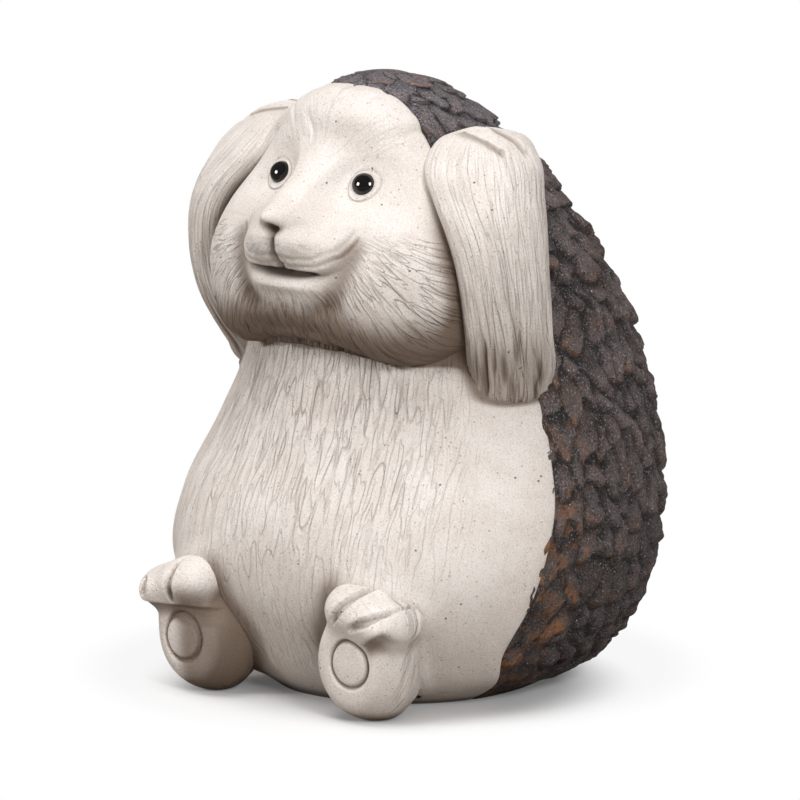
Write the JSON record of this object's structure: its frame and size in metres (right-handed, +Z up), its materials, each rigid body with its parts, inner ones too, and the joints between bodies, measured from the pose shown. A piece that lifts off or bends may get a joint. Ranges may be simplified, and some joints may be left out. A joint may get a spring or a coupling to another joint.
{
  "type": "hedgehog figurine",
  "caption": "Seated hedgehog figurine of pale cast stone with a dark quill coat, raised arms beside its face and a flat base to stand on.",
  "frame": {"origin": "on the ground under the middle of the body, in the plane that parts the figure's left and right sides", "axes": "+Z up, the figure faces -Y, and its own left side is +X"},
  "size_m": [0.2426, 0.2533, 0.309],
  "materials": {
    "cast_stone": "matt cast stone with a sandy grain",
    "quill_coat": "matt dark stain with brown edges",
    "eye_bead": "polished black",
    "base_plate": "raw cast",
    "dowel": "plain drawn rod"
  },
  "bodies": {
    "root": {"belly_shell": "cast_stone", "head_shell": "cast_stone", "left_arm": "cast_stone", "right_arm": "cast_stone", "left_foot": "cast_stone", "right_foot": "cast_stone", "quill_coat": "quill_coat", "left_eye": "eye_bead", "right_eye": "eye_bead", "base_plate": "base_plate", "arm_dowels": "dowel", "foot_dowels": "dowel", "head_dowels": "dowel", "seam_dowels": "dowel"}
  },
  "joints": []
}
